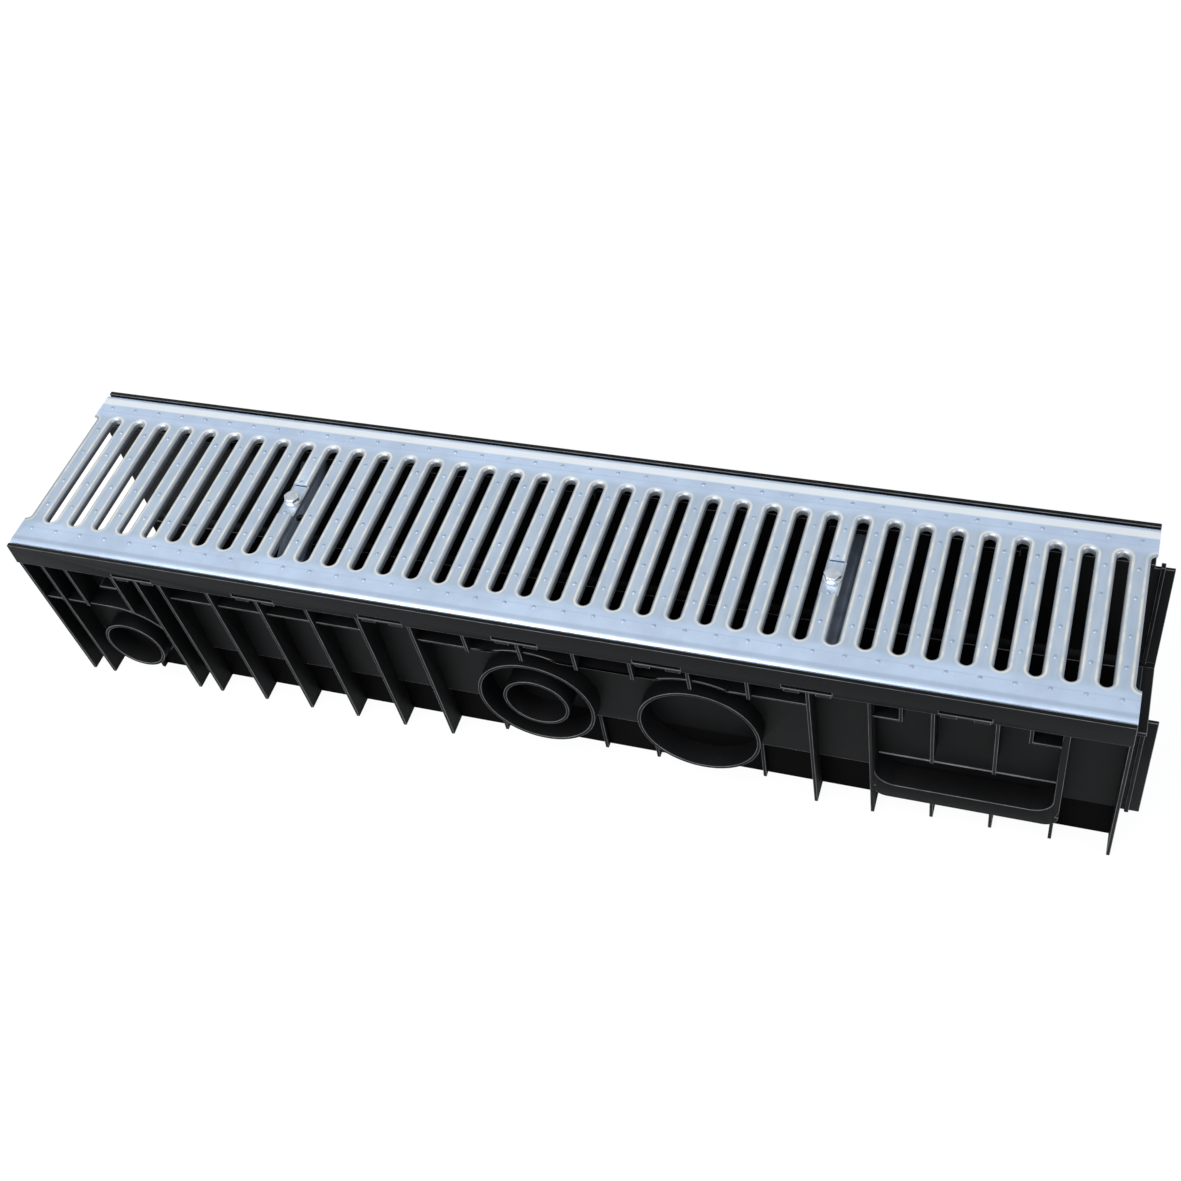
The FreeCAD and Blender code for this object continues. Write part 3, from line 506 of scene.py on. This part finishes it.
def sharp_outward(edge):
    """True for an outward edge between two faces that meet at more than the angle."""
    if len(edge.link_faces) != 2 or edge.calc_length() < SHORTEST_EDGE:
        return False
    return edge.is_convex and edge.calc_face_angle() > math.radians(SHARP_ANGLE)


def roomy(width):
    """Picks sharp outward edges that have room for a rounding of this width at both ends."""
    def wanted(edge):
        near = [other for vertex in edge.verts for other in vertex.link_edges]
        return sharp_outward(edge) and min(other.calc_length() for other in near) > 2.1 * width
    return wanted


def settle(piece, body, slot, *nodes):
    """Ties a finished piece to its body and hides the solids it stands for. The material slot is
    not used.
    """
    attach(piece, body)
    if nodes:
        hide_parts(*nodes)


def join_into(piece, others):
    select_only(piece)
    for other in others:
        other.select_set(True)
    bpy.ops.object.join()


def make_block(name, low, high, rounding):
    """A block of moulded plastic between two corners, its edges rounded and given the painted edge
    highlight.
    """
    low, high = Vector(low), Vector(high)
    middle = (low + high) / 2
    bpy.ops.mesh.primitive_cube_add(size=1, location=middle)
    block = bpy.context.active_object
    block.name = name
    bpy.ops.object.mode_set(mode="EDIT")
    bpy.ops.mesh.select_all(action="SELECT")
    bpy.ops.transform.resize(value=high - low, center_override=middle)
    bpy.ops.object.mode_set(mode="OBJECT")
    bpy.ops.object.transform_apply(location=True, rotation=True, scale=True)
    paint(block, "moulded_plastic", "edge_highlight_plastic")
    weigh_edges(block, sharp_outward)
    round_edges(block, rounding, 1)
    return block


def make_bead(name, low, high, radius):
    """A thin round bead along X between two points."""
    low, high = Vector(low), Vector(high)
    bpy.ops.mesh.primitive_cylinder_add(
        vertices=16, radius=radius, depth=high.x - low.x, location=(low + high) / 2,
        rotation=(0, math.radians(90), 0))
    bead = bpy.context.active_object
    bead.name = name
    bpy.ops.object.transform_apply(location=True, rotation=True, scale=True)
    paint(bead, "edge_highlight_plastic")
    return bead


class CHANNEL_OT_trough(bpy.types.Operator):
    """The black moulding with its free edges rounded and given a painted highlight"""

    bl_idname = "channel.trough"
    bl_label = "Finish the trough"

    def execute(self, context):
        piece = copy_of_node("channel_body", "trough")
        paint(piece, "moulded_plastic", "edge_highlight_plastic")
        edge = sizes().moulded_edge
        weigh_edges(piece, roomy(edge))
        round_edges(piece, edge, 1)
        end = sheet_high.x
        tongue = make_block(
            "far_tongue_foot", (end - MM, *TONGUE_FOOT_LOW),
            (trough_high.x, *TONGUE_FOOT_HIGH), edge)
        shelf = make_block(
            "shelf_root", (end - SHELF_ROOT_DEPTH, *SHELF_ROOT_LOW),
            (end - 0.5 * MM, *SHELF_ROOT_HIGH), edge)
        # The bead along the outlet's recess edge is a painted highlight
        bead = make_bead("outlet_edge_highlight", HIGHLIGHT_BEAD_LEFT, HIGHLIGHT_BEAD_RIGHT, HIGHLIGHT_BEAD_RADIUS)
        join_into(piece, [tongue, shelf, bead])
        smooth(piece)
        settle(piece, "channel", "black_plastic", "channel_body")
        return {"FINISHED"}


def make_nub(name, spot):
    """One raised nub: a flattened bead half sunk in the sheet."""
    bpy.ops.mesh.primitive_uv_sphere_add(
        segments=10, ring_count=6, radius=sizes().nub_radius, location=spot)
    nub = bpy.context.active_object
    nub.name = name
    bpy.ops.object.mode_set(mode="EDIT")
    bpy.ops.mesh.select_all(action="SELECT")
    share = sizes().nub_height / sizes().nub_radius
    bpy.ops.transform.resize(value=(1, 1, share), center_override=spot)
    bpy.ops.object.mode_set(mode="OBJECT")
    bpy.ops.object.transform_apply(location=True, rotation=True, scale=True)
    return nub


class CHANNEL_OT_grating(bpy.types.Operator):
    """The pressed sheet with rounded cut edges and rows of raised nubs on its webs"""

    bl_idname = "channel.grating"
    bl_label = "Finish the grating"

    def execute(self, context):
        piece = copy_of_node("grating", "slotted_sheet")
        weigh_edges(piece, sharp_outward)
        round_edges(piece, sizes().sheet_edge)
        paint(piece, "zinc_coated_sheet")
        nubs = []
        for row in NUB_ROWS:
            for web in range(SLOT_COUNT + 1):
                along = sheet_low.x + (web + 0.5) * SLOT_PITCH
                spot = Vector((along, row, sheet_high.z))
                if nubs:
                    nub = bpy.data.objects.new("nub", nubs[0].data.copy())
                    nub.data.transform(Matrix.Translation(spot - first_spot))
                    bpy.context.scene.collection.objects.link(nub)
                else:
                    first_spot = spot
                    nub = make_nub("nub", spot)
                    # The nubs take the zinc painted darker as shade
                    paint(nub, "shaded_nub_zinc")
                nubs.append(nub)
        join_into(piece, nubs)
        piece.data.name = "slotted_sheet"
        smooth(piece)
        settle(piece, "channel", "galvanised_sheet", "grating")
        return {"FINISHED"}


class CHANNEL_OT_bars(bpy.types.Operator):
    """The two locking bars with their pressed edges rounded"""

    bl_idname = "channel.bars"
    bl_label = "Finish the locking bars"

    def execute(self, context):
        for side in ("left", "right"):
            node = "locking_bar_" + side
            piece = copy_of_node(node, "clamp_bar_" + side)
            weigh_edges(piece, sharp_outward)
            round_edges(piece, sizes().sheet_edge / 2)
            paint(piece, "dull_bar_steel")
            settle(piece, "bar_" + side, "dark_steel", node)
        return {"FINISHED"}


def chamfered_hexagon(name, centre, low, high, flats):
    """A hexagon block whose corners are turned off at the top by a cone."""
    reach = flats / math.sqrt(3)
    rise = high - low
    middle = (centre.x, centre.y, (low + high) / 2)
    bpy.ops.mesh.primitive_cylinder_add(
        vertices=6, radius=reach, depth=rise, location=middle, rotation=(0, 0, math.radians(30)))
    block = bpy.context.active_object
    block.name = name
    bpy.ops.object.transform_apply(location=True, rotation=True, scale=True)
    slope = sizes().head_chamfer
    bpy.ops.mesh.primitive_cone_add(
        vertices=64, radius1=flats / 2 + rise / slope, radius2=flats / 2 * 0.93, depth=rise,
        location=middle)
    cone = bpy.context.active_object
    bpy.ops.object.transform_apply(location=True, rotation=True, scale=True)
    turn = block.modifiers.new("chamfer", "BOOLEAN")
    turn.operation = "INTERSECT"
    turn.object = cone
    select_only(block)
    bpy.ops.object.modifier_apply(modifier="chamfer")
    bpy.data.objects.remove(cone)
    return block


def threaded_shank(name, centre, low, high, radius):
    """A round shank with even thread grooves, drawn as a profile that is spun about its axis."""
    pitch = sizes().thread_pitch
    depth = pitch * 0.55
    profile = bmesh.new()
    points = [profile.verts.new((0, 0, low)), profile.verts.new((radius - depth, 0, low))]
    for step in range(int((high - low) / pitch)):
        points.append(profile.verts.new((radius, 0, low + (step + 0.5) * pitch)))
        points.append(profile.verts.new((radius - depth, 0, low + (step + 1) * pitch)))
    points.append(profile.verts.new((radius - depth, 0, high)))
    points.append(profile.verts.new((0, 0, high)))
    for first, second in zip(points, points[1:]):
        profile.edges.new((first, second))
    mesh = bpy.data.meshes.new(name)
    profile.to_mesh(mesh)
    profile.free()
    shank = bpy.data.objects.new(name, mesh)
    bpy.context.scene.collection.objects.link(shank)
    spin = shank.modifiers.new("spin", "SCREW")
    spin.steps = 32
    spin.use_merge_vertices = True
    select_only(shank)
    bpy.ops.object.modifier_apply(modifier="spin")
    mesh.transform(Matrix.Translation((centre.x, centre.y, 0)))
    bpy.ops.object.mode_set(mode="EDIT")
    bpy.ops.mesh.select_all(action="SELECT")
    bpy.ops.mesh.normals_make_consistent(inside=False)
    bpy.ops.object.mode_set(mode="OBJECT")
    return shank


class CHANNEL_OT_fasteners(bpy.types.Operator):
    """Bolts with chamfered heads, washers and nuts"""

    bl_idname = "channel.fasteners"
    bl_label = "Finish the fasteners"

    def execute(self, context):
        for side in ("left", "right"):
            low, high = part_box("bolt_" + side)
            centre = (low + high) / 2
            under_head = high.z - sizes().head_height
            head = chamfered_hexagon(
                "hex_bolt_" + side, centre, under_head, high.z, sizes().head_flats)
            shank = threaded_shank("shank", centre, low.z, under_head, sizes().shank_diameter / 2)
            weigh_edges(head, sharp_outward)
            round_edges(head, sizes().sheet_edge / 2)
            smooth(shank)
            join_into(head, [shank])
            paint(head, "bright_zinc")
            settle(head, "channel", "zinc_fastener", "bolt_" + side)
            for kind, body in (("washer", "channel"), ("nut", "bar_" + side)):
                node = "%s_%s" % (kind, side)
                piece = copy_of_node(node, "%s_%s_finished" % (kind, side))
                weigh_edges(piece, sharp_outward)
                round_edges(piece, sizes().sheet_edge)
                paint(piece, "bright_zinc")
                settle(piece, body, "zinc_fastener", node)
        return {"FINISHED"}


CAMERA_PLACE = Vector((0.44693, -0.82575, 1.22085))
CAMERA_RIGHT = Vector((0.94521, 0.29533, -0.13915))
CAMERA_UP = Vector((-0.14446, 0.76057, 0.63298))
CAMERA_BACK = Vector((0.29277, -0.57819, 0.76156))
CAMERA_LENS = 48.49
FLOOR_REACH = 6.0
SKY_COLOUR = (0.86, 0.93, 1.0, 1.0)
SKY_STRENGTH = 0.75
WHITE = (1.0, 1.0, 1.0, 1.0)

# Name, place, target, width, length and power
LAMPS = [
    ("front_softbox", (-0.8, -2.4, 1.6), (0, 0, 0.1), 3.2, 1.2, 60),
    ("overhead_softbox", (-0.6, -0.8, 2.2), (0, -0.1, 0.2), 2.4, 1.6, 30),
    ("side_softbox", (2.4, -0.6, 1.2), (0.1, 0, 0.1), 1.2, 1.2, 14),
]


def add_camera():
    data = bpy.data.cameras.new("view")
    data.lens = CAMERA_LENS
    data.sensor_width = 36.0
    data.sensor_fit = "HORIZONTAL"
    data.clip_start = 0.05
    camera = bpy.data.objects.new("view", data)
    bpy.context.scene.collection.objects.link(camera)
    turn = Matrix((CAMERA_RIGHT, CAMERA_UP, CAMERA_BACK)).transposed().to_4x4()
    camera.matrix_world = Matrix.Translation(CAMERA_PLACE) @ turn
    bpy.context.scene.camera = camera


def add_lamp(name, place, target, width, length, power):
    data = bpy.data.lights.new(name, "AREA")
    data.shape = "RECTANGLE"
    data.size = width
    data.size_y = length
    data.energy = power
    lamp = bpy.data.objects.new(name, data)
    bpy.context.scene.collection.objects.link(lamp)
    lamp.location = place
    lamp.rotation_euler = (Vector(target) - Vector(place)).to_track_quat("-Z", "Y").to_euler()


def pale_floor():
    """White to the camera, with the object's shadow kept."""
    board = Board("pale_floor", {"Roughness": 0.9, "Specular IOR Level": 0.0})
    board.shader.inputs["Base Color"].default_value = (*colours().floor, 1.0)
    seen = board.add("ShaderNodeLightPath")
    glow = board.add("ShaderNodeEmission", None, {"Color": WHITE, "Strength": 1.08})
    board.over(seen * 0.87, glow)
    return board.material


def studio_sky():
    """Cool soft light from all round, and plain white to the camera."""
    world = bpy.data.worlds.new("studio")
    world.use_nodes = True
    nodes, links = world.node_tree.nodes, world.node_tree.links
    light = nodes["Background"]
    light.inputs["Color"].default_value = SKY_COLOUR
    light.inputs["Strength"].default_value = SKY_STRENGTH
    white = nodes.new("ShaderNodeBackground")
    white.inputs["Color"].default_value = WHITE
    blend = nodes.new("ShaderNodeMixShader")
    links.new(nodes.new("ShaderNodeLightPath").outputs["Is Camera Ray"], blend.inputs[0])
    links.new(light.outputs[0], blend.inputs[1])
    links.new(white.outputs[0], blend.inputs[2])
    links.new(blend.outputs[0], nodes["World Output"].inputs["Surface"])
    return world


class CHANNEL_OT_stage(bpy.types.Operator):
    """Pale floor, soft lamps and the camera"""

    bl_idname = "channel.stage"
    bl_label = "Set the stage"

    def execute(self, context):
        bpy.ops.mesh.primitive_plane_add(size=FLOOR_REACH * 2, location=(0, 0, trough_low.z))
        floor = context.active_object
        floor.name = "floor"
        bpy.ops.object.transform_apply(location=True, rotation=True, scale=True)
        floor.data.materials.append(pale_floor())
        context.scene.world = studio_sky()
        for lamp in LAMPS:
            add_lamp(*lamp)
        add_camera()
        context.scene.view_settings.view_transform = "Standard"
        return {"FINISHED"}


class CHANNEL_PT_panel(bpy.types.Panel):
    """Lists the finishing steps and their settings"""

    bl_label = "Drainage channel"
    bl_idname = "CHANNEL_PT_panel"
    bl_space_type = "VIEW_3D"
    bl_region_type = "UI"
    bl_category = "Drainage channel"

    def draw(self, context):
        for step in STEPS:
            self.layout.operator("channel." + step)
        for group in (sizes(), colours()):
            for name in type(group).__annotations__:
                self.layout.prop(group, name)


STEPS = ["trough", "grating", "bars", "fasteners", "stage"]
CLASSES = [
    ChannelSizes, ChannelColours, CHANNEL_OT_trough, CHANNEL_OT_grating, CHANNEL_OT_bars,
    CHANNEL_OT_fasteners, CHANNEL_OT_stage, CHANNEL_PT_panel]


def register():
    for item in CLASSES:
        bpy.utils.register_class(item)
    bpy.types.Scene.channel_sizes = bpy.props.PointerProperty(type=ChannelSizes)
    bpy.types.Scene.channel_colours = bpy.props.PointerProperty(type=ChannelColours)


def unregister():
    del bpy.types.Scene.channel_colours
    del bpy.types.Scene.channel_sizes
    for item in reversed(CLASSES):
        bpy.utils.unregister_class(item)


def main():
    register()
    for step in STEPS:
        getattr(bpy.ops.channel, step)()


if __name__ == "__main__":
    main()
